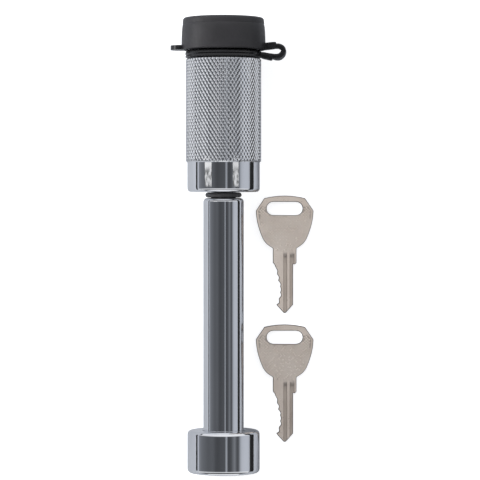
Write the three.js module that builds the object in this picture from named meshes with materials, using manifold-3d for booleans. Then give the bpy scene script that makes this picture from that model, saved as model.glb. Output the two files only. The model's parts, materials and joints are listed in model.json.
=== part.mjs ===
// Hitch pin lock: a receiver pin with a stop collar at one end and a keyed
// locking head at the other, a tethered rubber cap over the keyway, and two keys.
//
// Millimetres, +Z up. The lock lies on a surface with its pin along +Y. The cap
// is wider than the collar, so the pin runs slightly uphill towards the cap.
// The keys lie flat beside it. The origin is on that surface, under the middle
// of the whole set.
//
// Inside the "lock" group everything is turned about the Y axis, and Y is the
// distance along the pin from the collar's end face. The lock is shown open.

import * as THREE from "three";
import { mergeVertices } from "three/addons/utils/BufferGeometryUtils.js";
import Module from "manifold-3d";

// ---------------------------------------------------------------- dimensions

// Fits and finish
const GAP = 0.3; // between pieces that seat on or in each other
const RUNNING_GAP = 0.2; // between pieces that slide or turn in each other
const EDGE = 0.4; // small chamfer on a turned edge
const PAST = 1; // how far a cut runs past the face that it opens

// Pin
const PIN_RADIUS = 7.9375; // five-eighths inch pin
const SPAN = 93.6; // collar face to head face: what the pin can pass through
const PIN_CHAMFER = 0.9;
const TENON_RADIUS = 5; // reduced end, riveted over in the collar
const RIVET_LIP = 1.4; // how far the riveted end spreads past the tenon
const RIVET_THICKNESS = 1.5;
const RIVET_RECESS = 0.5; // how far the riveted end sits inside the collar's end face
const COLLAR_SEAT = 5; // depth of metal behind the full pin in the collar
const LATCH_RADIUS = 6; // reduced end that enters the head
const NECK_DEPTH = 1.2; // seal's groove, below the reduced end
const LATCH_GROOVE_DEPTH = 1.7;
const LATCH_LAND = 2; // the metal that the jaws catch behind
const TIP_CHAMFER = 1.2;

// Stop collar
const COLLAR_RADIUS = 14.2;
const COLLAR_LENGTH = 16.7;
const COLLAR_FILLET = 1.5;

// Seal ring in the neck, between the pin's shoulder and the head
const SEAL_WIRE_RADIUS = 1.04;

// Latch
const JAW_DEPTH = 18.5; // head's end face to the floor of the jaws' slot
const JAW_THICKNESS = 3.6;
const JAW_HALF_WIDTH = 6.2;
const JAW_TRAVEL = 1.5;
const JAW_END_GAP = 0.2; // between the two jaws when they are closed
const STUD_RADIUS = 0.9;
const CAM_RIM = 0.4; // metal outside the slots
const CAM_THICKNESS = 1.7;
const CAM_TURN = Math.PI / 2; // from open to locked
const SKIRT_THICKNESS = 0.6; // part of the cylinder body round the cam
const TONGUE_WIDTH = 3; // keys the cylinder body to the latch carrier
const TONGUE_LENGTH = 2;
const SCREW_RADIUS = 1.1;
const SCREW_HEAD_RADIUS = 2.4;
const SCREW_HEAD_THICKNESS = 1.1;
const SCREW_LENGTH = 5;
const SCREW_SLOT_WIDTH = 0.6;
const SCREW_SLOT_DEPTH = 0.5;

// Lock cylinder
const PLUG_RADIUS = 6.3;
const FLANGE_LIP = 1.2; // plug's face flange, past the plug
const FLANGE_THICKNESS = 2.2;
const FACE_RECESS = 0.8; // the cylinder's face sits this far inside the rim
const TAIL_SIDE = 5;
const CLIP_GROOVE_DEPTH = 1;
const CLIP_GROOVE_OFFSET = 0.8; // from the plug's foot
const CLIP_THICKNESS = 0.6;
const CLIP_WIDTH = 2.3;
const CLIP_OPENING = Math.PI / 3;
const WAFER_COUNT = 5;
const WAFER_PITCH = 3;
const FIRST_WAFER = 2.8; // from the plug's face
const WAFER_THICKNESS = 1.3;
const WAFER_WEB = 0.9; // either side of the wafer's window
const WAFER_TRAVEL = 0.8;
const WAFER_GROOVE_SPARE = 0.6; // depth left beyond a sprung wafer
const EAR_WIDTH = 1.8; // the wafer's foot for its spring
const EAR_HEIGHT = 1.2;
const SPRING_MEAN_RADIUS = 0.5;
const SPRING_WIRE_RADIUS = 0.12;
const SPRING_LENGTH = 4;
const SPRING_TURNS = 5;
const SPRING_FOOT = -3.1; // from the plug's axis
const RETAINER_RADIUS = 1.2; // pin that holds the cylinder in the shell
const RETAINER_DEPTH = 2.5; // how far it reaches into the cylinder body
const RETAINER_WALL = 0.8; // between it and the wafer grooves

// Head shell
const SHELL_FLOOR = 4;
const BAND_WALL = 2.9;
const BAND_LENGTH = 11.6;
const BAND_FILLET = 1.3;
const KNURL_STEP = 0.6; // the knurl's height over the band
const KNURL_LENGTH = 40.7;
const KNURL_CHAMFER = 0.5;
const GROOVE_WALL = 1.3; // under the tether ring's groove
const RIM_STEP = 1.3; // the rim's height over that groove
const RIM_LENGTH = 7.2;

// Rubber cap, tether and ring
const CAP_WALL = 2.35;
const CAP_HEIGHT = 12.7;
const CAP_TOP_THICKNESS = 2.2;
const CAP_DRAFT = 0.6; // how much narrower the cap's top is, on the radius
const CAP_FILLET = 1.1;
const TAB_LENGTH = 4.25; // beyond the cap
const TAB_THICKNESS = 1.8;
const TAB_HALF_WIDTH = 4.5;
const RING_HEIGHT = 2.7;
const RING_SETBACK = 1.5; // the ring's radius is this much less than the cap's
const RING_BEAD = 0.3; // height of the steps round the ring
const LUG_HALF_WIDTH = 3.6;
const STRAP_HALF_WIDTH = 2.8;
const STRAP_THICKNESS = 1.9;
// The tether's centreline, from the cap's lug round to the ring's lug, as
// distance beyond the cap and height over the cap's lower edge.
const STRAP_ROUTE = [
  [4.35, 1.57],
  [5.35, 1.5],
  [6.45, 0.95],
  [6.95, -0.05],
  [6.55, -1.25],
  [5.45, -2.2],
  [4.25, -2.5],
  [3.05, -2.45],
];
// Each lug's outline in the same measures: out along its upper side, then back.
const CAP_LUG = [
  [-1.35, 2.6],
  [-0.15, 2.7],
  [2.45, 3],
  [4.05, 3.05],
  [4.05, 0.65],
  [-0.15, 0.15],
  [-1.35, 0.15],
];
const RING_LUG = [
  [-2.35, -0.8],
  [-0.55, -1],
  [2.75, -1.6],
  [2.75, -3.75],
  [2.15, -3.95],
  [-1.15, -3.2],
  [-1.45, -2.9],
  [-2.35, -2.9],
];

// Keys
const KEY_THICKNESS = 2;
const BLADE_HALF_WIDTH = 3.35;
const BLADE_END = 4.6; // from the last cut's middle to the tip
const BLADE_TIP = 3.3; // length of the pointed end
const TIP_HALF_WIDTH = 0.35;
const SHOULDER_HALF_WIDTH = 4.7;
const SHOULDER_LENGTH = 6.4;
const SHOULDER_CHAMFER = 0.6;
const BOW_HALF_WIDTH = 11.5;
const BOW_LENGTH = 21;
const BOW_WAIST = 15; // height of the bow's widest point over its foot
const BOW_TOP_HALF_WIDTH = 8.1;
const BOW_CROWN = 1; // rise of the bow's curved top
const KEY_HOLE_LENGTH = 14.4;
const KEY_HOLE_WIDTH = 5.3;
const KEY_HOLE_HEIGHT = 15.9; // hole's centre over the bow's foot
const CUT_DEPTHS = [0.1, 0.75, 1.5, 1.55, 0.8]; // one for each wafer, from the shoulder
const CUT_FLAT = 1.3;
const GROOVE_DEPTH = 0.5;
const GROOVE_RUNOUT = 5; // how far the grooves run up into the shoulder
const FACE_GROOVE = [-0.5, 0.95]; // sides of the groove in the blade's upper face
const EDGE_GROOVE = [2, 3.9]; // step along the blade's back edge
const BACK_GROOVE = [-1.9, -0.8]; // groove in the lower face
const KEY_GAP = 0.2; // between the blade and the keyway

// Where the keys lie beside the lock
const KEY_OFFSET = 24.3; // the pin's axis to the keys' centreline
const FIRST_KEY_TIP = 62.3; // from the collar's end face
const KEY_SPACING = 51.4;

// Facets round a full turn
const FINE = 40;
const MEDIUM = 32;
const COARSE = 16;

// ------------------------------------------------------------- worked-out sizes

const halfTurn = Math.PI / 2;

// The cylinder body is wide enough for the latch's cam and for the plug with
// its wafers, whichever needs more.
const studOffset = LATCH_RADIUS + GAP + JAW_TRAVEL + STUD_RADIUS;
const slotRadius = STUD_RADIUS + RUNNING_GAP;
const waferReach = PLUG_RADIUS + WAFER_TRAVEL + WAFER_GROOVE_SPARE;
const bodyRadius = Math.max(
  studOffset + slotRadius + CAM_RIM + RUNNING_GAP + SKIRT_THICKNESS,
  waferReach + RETAINER_WALL + RETAINER_DEPTH,
);
const skirtBore = bodyRadius - SKIRT_THICKNESS;
const shellBore = bodyRadius + GAP;
const grooveRadius = shellBore + GROOVE_WALL;
const rimRadius = grooveRadius + RIM_STEP;
const bandRadius = shellBore + BAND_WALL;
const knurlRadius = bandRadius + KNURL_STEP;
const capBore = rimRadius + GAP;
const capRadius = capBore + CAP_WALL;
const ringRadius = capRadius - RING_SETBACK;

const latchBore = LATCH_RADIUS + EDGE;
const neckRadius = LATCH_RADIUS - NECK_DEPTH;
const sealRadius = neckRadius + GAP + SEAL_WIRE_RADIUS;
const mouthRadius = sealRadius + SEAL_WIRE_RADIUS + RUNNING_GAP;
const plugBore = PLUG_RADIUS + GAP;
const flangeRadius = PLUG_RADIUS + FLANGE_LIP;
const waferHalfWindow = KEY_THICKNESS / 2 + 2 * KEY_GAP;
const waferHalfWidth = waferHalfWindow + WAFER_WEB;
const bladeLength = FIRST_WAFER + (WAFER_COUNT - 1) * WAFER_PITCH + BLADE_END;

// Along the pin, from the collar's end face
const headFace = COLLAR_LENGTH + SPAN;
const sealSpace = 2 * SEAL_WIRE_RADIUS + GAP;
const pinShoulder = headFace - sealSpace;
const bandTop = headFace + BAND_LENGTH;
const knurlTop = bandTop + KNURL_LENGTH;
const rimBottom = knurlTop + RING_HEIGHT + 2 * GAP;
const headTop = rimBottom + RIM_LENGTH;
const retainerHeight = (knurlTop + rimBottom) / 2;

const jawFloor = headFace + JAW_DEPTH;
const jawBottom = jawFloor + RUNNING_GAP;
const jawTop = jawBottom + JAW_THICKNESS;
const carrierTop = jawTop + GAP;
const landBottom = carrierTop + RUNNING_GAP;
const pinTip = landBottom + LATCH_LAND + TIP_CHAMFER;
const screwHead = pinTip + 2 * RUNNING_GAP;
const screwSeat = screwHead + SCREW_HEAD_THICKNESS;
const camBottom = screwSeat + GAP;
const camTop = camBottom + CAM_THICKNESS;
const plugFoot = camTop + GAP;
const clipGroove = plugFoot + CLIP_GROOVE_OFFSET;
const bodyFoot = clipGroove + CLIP_THICKNESS + 2 * RUNNING_GAP;
const plugFace = headTop - FACE_RECESS;
const flangeBottom = plugFace - FLANGE_THICKNESS;
const keywayFloor = plugFace - bladeLength - GAP;
const waferAt = (i) => plugFace - FIRST_WAFER - i * WAFER_PITCH;

// --------------------------------------------------------------------- tools

const wasm = await Module();
wasm.setup();

// A closed geometry as a solid that can be joined and cut.
function solidOf(geometry) {
  const bare = geometry.index ? geometry.toNonIndexed() : geometry.clone();
  bare.deleteAttribute("normal");
  bare.deleteAttribute("uv");
  const merged = mergeVertices(bare, 1e-4);
  return new wasm.Manifold(
    new wasm.Mesh({
      numProp: 3,
      vertProperties: merged.attributes.position.array,
      triVerts: new Uint32Array(merged.index.array),
    }),
  );
}

// A joined or cut solid as a flat-shaded geometry.
function geometryOf(solid) {
  const { vertProperties, triVerts } = solid.getMesh();
  const geometry = new THREE.BufferGeometry()
    .setAttribute("position", new THREE.BufferAttribute(vertProperties, 3))
    .setIndex(new THREE.BufferAttribute(triVerts, 1))
    .toNonIndexed();
  geometry.computeVertexNormals();
  return geometry;
}

// Points of an arc from one angle to another, as [x, y] pairs.
function arc(x, y, radius, from, to, steps = 4) {
  return Array.from({ length: steps + 1 }, (_, i) => {
    const angle = from + ((to - from) * i) / steps;
    return [x + radius * Math.cos(angle), y + radius * Math.sin(angle)];
  });
}

// A solid turned about the Y axis. The profile holds [radius, height] pairs,
// anticlockwise, and either starts and ends on the axis or closes on itself.
function turned(profile, segments = FINE) {
  const points = profile.map(([r, y]) => new THREE.Vector2(Math.max(r, 0), y));
  if (points[0].x > 0) points.push(points[0].clone());
  return solidOf(new THREE.LatheGeometry(points, segments));
}

// A disc or a plain pin about the Y axis.
function disc(radius, bottom, top, segments = MEDIUM) {
  const height = top - bottom;
  const geometry = new THREE.CylinderGeometry(radius, radius, height, segments);
  return solidOf(geometry.translate(0, bottom + height / 2, 0));
}

// A box from its lowest corner to its highest.
function box(low, high) {
  const size = high.map((value, i) => value - low[i]);
  const geometry = new THREE.BoxGeometry(...size);
  return solidOf(geometry.translate(...low.map((value, i) => value + size[i] / 2)));
}

// A box that is centred across X and Z.
function bar(halfX, bottom, top, halfZ) {
  return box([-halfX, bottom, -halfZ], [halfX, top, halfZ]);
}

function shapeOf(points) {
  return new THREE.Shape(points.map(([x, y]) => new THREE.Vector2(x, y)));
}

function extruded(shape, depth) {
  return new THREE.ExtrudeGeometry(shape, { depth, bevelEnabled: false, steps: 1 });
}

// An outline in the X-Z plane, with its thickness along Y.
function plate(points, bottom, top) {
  const geometry = extruded(shapeOf(points), top - bottom);
  return solidOf(geometry.rotateX(halfTurn).translate(0, top, 0));
}

// An outline in the X-Y plane, centred across Z.
function slab(points, halfWidth) {
  return solidOf(extruded(shapeOf(points), 2 * halfWidth).translate(0, 0, -halfWidth));
}

// The outline of a band of even width along a route of [x, y] points, with
// square ends, or with round ones of the given number of steps.
function bandOutline(route, width, roundSteps = 0) {
  const last = route.length - 1;
  const normals = route.map((_, i) => {
    const before = route[Math.max(i - 1, 0)];
    const after = route[Math.min(i + 1, last)];
    const dx = after[0] - before[0];
    const dy = after[1] - before[1];
    const length = Math.hypot(dx, dy);
    return [-dy / length, dx / length];
  });
  const side = (sign) =>
    route.map(([x, y], i) => [
      x + (sign * normals[i][0] * width) / 2,
      y + (sign * normals[i][1] * width) / 2,
    ]);
  const roundEnd = (i, sign) => {
    if (!roundSteps) return [];
    const start = Math.atan2(sign * normals[i][1], sign * normals[i][0]);
    const points = arc(...route[i], width / 2, start, start - Math.PI, roundSteps);
    return points.slice(1, -1);
  };
  return [...side(1), ...roundEnd(last, 1), ...side(-1).reverse(), ...roundEnd(0, -1)];
}

// A smooth line through a few [x, y] points.
function smooth(points, steps) {
  const curve = new THREE.SplineCurve(points.map(([x, y]) => new THREE.Vector2(x, y)));
  return curve.getPoints(steps).map((point) => [point.x, point.y]);
}

// ----------------------------------------------------------------- materials

const metal = (color, roughness) =>
  new THREE.MeshStandardMaterial({ color, roughness, metalness: 1 });
const chrome = metal(0xd9dbe0, 0.08);
const zinc = metal(0xa9abae, 0.45);
const steel = metal(0x8d9094, 0.35);
const springSteel = metal(0x9a9c9f, 0.3);
const brass = metal(0xc9a45c, 0.35);
const nickelSilver = metal(0xbcb0a4, 0.38);
const rubber = new THREE.MeshStandardMaterial({ color: 0x2c2b2d, roughness: 0.7 });

// ---------------------------------------------------------- pin, collar, seal

// Riveted tenon, full-diameter shank, seal's neck, latch end and tip.
function shank() {
  const rivetRadius = TENON_RADIUS + RIVET_LIP;
  const rivetTop = RIVET_RECESS + RIVET_THICKNESS;
  const seat = COLLAR_SEAT + GAP;
  const neckTop = headFace + GAP;
  const grooveBottom = jawBottom - GAP;
  const grooveFloor = LATCH_RADIUS - LATCH_GROOVE_DEPTH;
  return turned([
    [0, RIVET_RECESS],
    [rivetRadius - EDGE, RIVET_RECESS],
    [rivetRadius, RIVET_RECESS + EDGE],
    [rivetRadius, rivetTop],
    [TENON_RADIUS, rivetTop],
    [TENON_RADIUS, seat],
    [PIN_RADIUS, seat],
    [PIN_RADIUS, pinShoulder - PIN_CHAMFER],
    [PIN_RADIUS - PIN_CHAMFER, pinShoulder],
    [neckRadius, pinShoulder],
    [neckRadius, neckTop],
    [LATCH_RADIUS - EDGE, neckTop],
    [LATCH_RADIUS, neckTop + EDGE],
    [LATCH_RADIUS, grooveBottom],
    [grooveFloor, grooveBottom],
    [grooveFloor, landBottom],
    [LATCH_RADIUS, landBottom],
    [LATCH_RADIUS, pinTip - TIP_CHAMFER],
    [LATCH_RADIUS - TIP_CHAMFER, pinTip],
    [0, pinTip],
  ]);
}

function stopCollar() {
  const f = COLLAR_FILLET;
  const pinBore = PIN_RADIUS + GAP;
  const tenonBore = TENON_RADIUS + GAP;
  const recess = TENON_RADIUS + RIVET_LIP + GAP;
  const recessTop = RIVET_RECESS + RIVET_THICKNESS + GAP;
  return turned([
    [recess, 0],
    ...arc(COLLAR_RADIUS - f, f, f, -halfTurn, 0),
    ...arc(COLLAR_RADIUS - f, COLLAR_LENGTH - f, f, 0, halfTurn),
    [pinBore, COLLAR_LENGTH],
    [pinBore, COLLAR_SEAT],
    [tenonBore, COLLAR_SEAT],
    [tenonBore, recessTop],
    [recess, recessTop],
  ]);
}

function sealRing() {
  const ring = new THREE.TorusGeometry(sealRadius, SEAL_WIRE_RADIUS, 8, MEDIUM);
  return solidOf(ring.rotateX(halfTurn));
}

// ------------------------------------------------------------------ lock head

// The radial hole for the retaining pin, from a depth outwards.
function retainerHole(depth) {
  const inner = bodyRadius - depth;
  return disc(RETAINER_RADIUS + GAP, inner, rimRadius, COARSE)
    .rotate([90, 0, 0])
    .translate([0, retainerHeight, 0]);
}

// The countersunk mouth is as wide as the seal ring, so that the ring centres in
// it and the flat face round it bears on the receiver.
function headShell() {
  const f = BAND_FILLET;
  const floor = headFace + SHELL_FLOOR;
  return turned([
    [latchBore, headFace + mouthRadius - latchBore],
    [mouthRadius, headFace],
    ...arc(bandRadius - f, headFace + f, f, -halfTurn, 0),
    [bandRadius, bandTop],
    [knurlRadius - KNURL_CHAMFER, bandTop],
    [knurlRadius, bandTop + KNURL_CHAMFER],
    [knurlRadius, knurlTop - KNURL_CHAMFER],
    [knurlRadius - KNURL_CHAMFER, knurlTop],
    [grooveRadius, knurlTop],
    [grooveRadius, rimBottom],
    [rimRadius - EDGE, rimBottom],
    [rimRadius, rimBottom + EDGE],
    [rimRadius, headTop - EDGE],
    [rimRadius - EDGE, headTop],
    [shellBore, headTop],
    [shellBore, floor],
    [latchBore, floor],
  ]).subtract(retainerHole(RETAINER_DEPTH));
}

// Guides the pin's end and carries the two jaws in a slot across its top.
function latchCarrier() {
  const bottom = headFace + SHELL_FLOOR + GAP;
  const halfNotch = TONGUE_WIDTH / 2 + GAP;
  const notchFloor = carrierTop - TONGUE_LENGTH - GAP;
  const slot = bar(
    bodyRadius + PAST,
    jawFloor,
    carrierTop + PAST,
    JAW_HALF_WIDTH + RUNNING_GAP,
  );
  const notch = box(
    [-halfNotch, notchFloor, (latchBore + bodyRadius) / 2],
    [halfNotch, carrierTop + PAST, bodyRadius + PAST],
  );
  return turned([
    [latchBore, bottom],
    [bodyRadius, bottom],
    [bodyRadius, carrierTop],
    [latchBore, carrierTop],
  ])
    .subtract(slot)
    .subtract(notch);
}

// One jaw, open: a plate with a round notch that clears the pin, and a stud
// that the cam moves. The other jaw is the same piece turned half round.
function latchJaw() {
  const openFlat = JAW_END_GAP / 2 + JAW_TRAVEL;
  const stud = disc(STUD_RADIUS, jawTop - PAST, camTop, COARSE);
  return disc(bodyRadius, jawBottom, jawTop)
    .intersect(
      box(
        [openFlat, jawBottom - PAST, -JAW_HALF_WIDTH],
        [bodyRadius, jawTop + PAST, JAW_HALF_WIDTH],
      ),
    )
    .subtract(disc(LATCH_RADIUS + GAP, jawBottom - PAST, jawTop + PAST))
    .add(stud.translate([studOffset, 0, 0]));
}

// Turned by the plug: two spiral slots draw the studs in by the jaws' travel.
function camDisc() {
  const steps = 9;
  const route = Array.from({ length: steps + 1 }, (_, i) => {
    const turn = (CAM_TURN * i) / steps;
    const radius = studOffset - (JAW_TRAVEL * i) / steps;
    return [radius * Math.cos(turn), radius * Math.sin(turn)];
  });
  const outline = bandOutline(route, 2 * slotRadius, 6);
  const slot = plate(outline, camBottom - PAST, camTop + PAST);
  const halfHole = TAIL_SIDE / 2 + RUNNING_GAP;
  return disc(skirtBore - RUNNING_GAP, camBottom, camTop)
    .subtract(slot)
    .subtract(slot.rotate([0, 180, 0]))
    .subtract(bar(halfHole, camBottom - PAST, camTop + PAST, halfHole));
}

// Holds the cam on the plug's square tail.
function camScrew() {
  const slot = bar(
    SCREW_HEAD_RADIUS,
    screwHead - PAST,
    screwHead + SCREW_SLOT_DEPTH,
    SCREW_SLOT_WIDTH / 2,
  );
  return turned(
    [
      [0, screwHead],
      [SCREW_HEAD_RADIUS - EDGE, screwHead],
      [SCREW_HEAD_RADIUS, screwHead + EDGE],
      [SCREW_HEAD_RADIUS, screwSeat],
      [SCREW_RADIUS, screwSeat],
      [SCREW_RADIUS, screwSeat + SCREW_LENGTH],
      [0, screwSeat + SCREW_LENGTH],
    ],
    COARSE,
  ).subtract(slot);
}

// ------------------------------------------------------------- lock cylinder

// The fixed body: a skirt round the cam, a bore for the plug, and four grooves
// that the wafers spring into when the key is drawn at either end of the turn.
function cylinderBody() {
  const foot = carrierTop + GAP;
  const halfGroove = waferHalfWidth + GAP;
  const grooveBottom = waferAt(WAFER_COUNT - 1) - WAFER_THICKNESS;
  const counterBore = flangeRadius + GAP;
  const counterFloor = flangeBottom - RUNNING_GAP;
  const tongue = box(
    [-TONGUE_WIDTH / 2, carrierTop - TONGUE_LENGTH, skirtBore],
    [TONGUE_WIDTH / 2, foot + PAST, bodyRadius - RUNNING_GAP],
  );
  return turned(
    [
      [skirtBore, foot],
      [bodyRadius, foot],
      [bodyRadius, plugFace - EDGE],
      [bodyRadius - EDGE, plugFace],
      [counterBore, plugFace],
      [counterBore, counterFloor],
      [plugBore, counterFloor],
      [plugBore, bodyFoot],
      [skirtBore, bodyFoot],
    ],
    MEDIUM,
  )
    .subtract(bar(halfGroove, grooveBottom, counterFloor, waferReach))
    .subtract(bar(waferReach, grooveBottom, counterFloor, halfGroove))
    .subtract(retainerHole(RETAINER_DEPTH + GAP))
    .add(tongue);
}

// The keyway: the blade's section with clearance, less a rib in each face that
// enters the key's grooves.
function keyway() {
  const halfThickness = KEY_THICKNESS / 2 + KEY_GAP;
  const ribFace = KEY_THICKNESS / 2 - GROOVE_DEPTH + KEY_GAP;
  const top = plugFace + PAST;
  const rib = ([side0, side1], x0, x1) =>
    box([x0, keywayFloor - PAST, side0 + KEY_GAP], [x1, top, side1 - KEY_GAP]);
  return bar(halfThickness, keywayFloor, top, BLADE_HALF_WIDTH + KEY_GAP)
    .subtract(rib(FACE_GROOVE, ribFace, halfThickness + PAST))
    .subtract(rib(BACK_GROOVE, -halfThickness - PAST, -ribFace));
}

// A slot through the plug for one wafer, with room for its ear and spring.
function waferSlot() {
  const halfSlot = WAFER_THICKNESS / 2 + RUNNING_GAP;
  const side = waferHalfWidth + RUNNING_GAP;
  const reach = PLUG_RADIUS + PAST;
  return bar(side, -halfSlot, halfSlot, reach).add(
    box(
      [0, -halfSlot, SPRING_FOOT - RUNNING_GAP],
      [waferHalfWidth + EAR_WIDTH + GAP, halfSlot, reach],
    ),
  );
}

function plug() {
  const halfTail = TAIL_SIDE / 2;
  const clipRadius = PLUG_RADIUS - CLIP_GROOVE_DEPTH;
  let solid = turned(
    [
      [0, plugFoot],
      [PLUG_RADIUS, plugFoot],
      [PLUG_RADIUS, clipGroove],
      [clipRadius, clipGroove],
      [clipRadius, bodyFoot],
      [PLUG_RADIUS, bodyFoot],
      [PLUG_RADIUS, flangeBottom],
      [flangeRadius, flangeBottom],
      [flangeRadius, plugFace - EDGE],
      [flangeRadius - EDGE, plugFace],
      [0, plugFace],
    ],
    MEDIUM,
  )
    .add(bar(halfTail, camBottom + RUNNING_GAP, plugFoot + EDGE, halfTail))
    .subtract(disc(SCREW_RADIUS + GAP, camBottom, screwSeat + SCREW_LENGTH + GAP, COARSE))
    .subtract(keyway());
  for (let i = 0; i < WAFER_COUNT; i++) {
    const slot = waferSlot().rotate([0, 180 * (i % 2), 0]);
    solid = solid.subtract(slot.translate([0, waferAt(i), 0]));
  }
  return solid;
}

// A wafer drawn flush with the plug: a plate with a window and an ear.
function wafer() {
  const half = WAFER_THICKNESS / 2;
  const earFoot = SPRING_FOOT + SPRING_LENGTH + RUNNING_GAP;
  const ear = box(
    [waferHalfWidth - EDGE, -half, earFoot],
    [waferHalfWidth + EAR_WIDTH, half, earFoot + EAR_HEIGHT],
  );
  const halfOpening = BLADE_HALF_WIDTH + WAFER_TRAVEL - RUNNING_GAP;
  return disc(PLUG_RADIUS - RUNNING_GAP, -half, half)
    .intersect(bar(waferHalfWidth, -half - PAST, half + PAST, PLUG_RADIUS))
    .add(ear)
    .subtract(bar(waferHalfWindow, -half - PAST, half + PAST, halfOpening));
}

class Helix extends THREE.Curve {
  constructor(radius, length, turns) {
    super();
    Object.assign(this, { radius, length, turns });
  }
  getPoint(t, target = new THREE.Vector3()) {
    const angle = 2 * Math.PI * this.turns * t;
    return target.set(
      this.radius * Math.cos(angle),
      this.radius * Math.sin(angle),
      this.length * t,
    );
  }
}

// The coil spring under a wafer's ear, standing along Z.
function waferSpring() {
  const corners = 4;
  const section = arc(0, 0, SPRING_WIRE_RADIUS, 0, 2 * Math.PI, corners).slice(1);
  const length = SPRING_LENGTH - 2 * SPRING_WIRE_RADIUS;
  const wire = new THREE.ExtrudeGeometry(shapeOf(section), {
    steps: SPRING_TURNS * 7,
    extrudePath: new Helix(SPRING_MEAN_RADIUS, length, SPRING_TURNS),
  });
  return solidOf(wire.translate(0, 0, SPRING_WIRE_RADIUS));
}

// Snaps into the plug's groove under the body.
function plugClip() {
  const inner = PLUG_RADIUS - CLIP_GROOVE_DEPTH + RUNNING_GAP;
  const from = CLIP_OPENING / 2;
  const to = 2 * Math.PI - from;
  const outline = [
    ...arc(0, 0, inner + CLIP_WIDTH, from, to, 20),
    ...arc(0, 0, inner, to, from, 20),
  ];
  const bottom = clipGroove + RUNNING_GAP;
  return plate(outline, bottom, bottom + CLIP_THICKNESS);
}

// Lies along Y, from the cylinder body out to the floor of the ring's groove.
function retainingPin() {
  const inner = bodyRadius - RETAINER_DEPTH;
  return disc(RETAINER_RADIUS, inner, grooveRadius - RUNNING_GAP, COARSE);
}

// --------------------------------------------------------- cap, tether, ring

const beyondCap = (points) => points.map(([x, y]) => [capRadius + x, y]);

// Moulded rubber cap with a pull tab and the lug of its tether.
function keywayCap() {
  const f = CAP_FILLET;
  const ceiling = CAP_HEIGHT - CAP_TOP_THICKNESS;
  const topRadius = capRadius - CAP_DRAFT;
  const tabCentre = capRadius + TAB_LENGTH - TAB_HALF_WIDTH;
  const tabRoot = capBore + EDGE;
  const cup = turned([
    [0, ceiling],
    [capBore - EDGE, ceiling],
    [capBore, ceiling - EDGE],
    [capBore, 0],
    [capRadius - EDGE, 0],
    [capRadius, EDGE],
    ...arc(topRadius - f, CAP_HEIGHT - f, f, 0, halfTurn),
    [0, CAP_HEIGHT],
  ]);
  const tab = plate(
    [
      ...arc(-tabCentre, 0, TAB_HALF_WIDTH, 3 * halfTurn, halfTurn, 10),
      [-tabRoot, TAB_HALF_WIDTH],
      [-tabRoot, -TAB_HALF_WIDTH],
    ],
    0,
    TAB_THICKNESS,
  );
  return cup.add(tab).add(slab(beyondCap(CAP_LUG).toReversed(), LUG_HALF_WIDTH));
}

// Moulded ring that stays in the shell's groove and holds the tether.
function strapRing() {
  const inner = grooveRadius + GAP;
  const top = -GAP;
  const bottom = top - RING_HEIGHT;
  const b = RING_BEAD;
  return turned([
    [inner, bottom],
    [ringRadius - b, bottom],
    [ringRadius, bottom + b],
    [ringRadius - b, bottom + 3 * b],
    [ringRadius, bottom + 5 * b],
    [ringRadius - b, top - b],
    [ringRadius - 2 * b, top],
    [inner, top],
  ]).add(slab(beyondCap(RING_LUG).toReversed(), LUG_HALF_WIDTH));
}

function capStrap() {
  const route = smooth(beyondCap(STRAP_ROUTE), 20);
  return slab(bandOutline(route, STRAP_THICKNESS).toReversed(), STRAP_HALF_WIDTH);
}

// ----------------------------------------------------------------------- key

// The blade's cut edge, from the shoulder towards the tip.
function keyCuts() {
  return CUT_DEPTHS.flatMap((depth, i) => {
    const x = depth - BLADE_HALF_WIDTH;
    const middle = bladeLength - FIRST_WAFER - i * WAFER_PITCH;
    return [
      [x, middle + CUT_FLAT / 2],
      [x, middle - CUT_FLAT / 2],
    ];
  });
}

// One side of the bow, from its foot to its widest point and top corner.
function bowSide(foot) {
  const rise = BOW_HALF_WIDTH - SHOULDER_HALF_WIDTH;
  const flare = [
    [0, 0],
    [0.52, 0.19],
    [0.9, 0.65],
    [1, 1],
  ].map(([x, y]) => [SHOULDER_HALF_WIDTH + x * rise, foot + y * BOW_WAIST]);
  return [...smooth(flare, 8), [BOW_TOP_HALF_WIDTH, foot + BOW_LENGTH - BOW_CROWN]];
}

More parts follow.
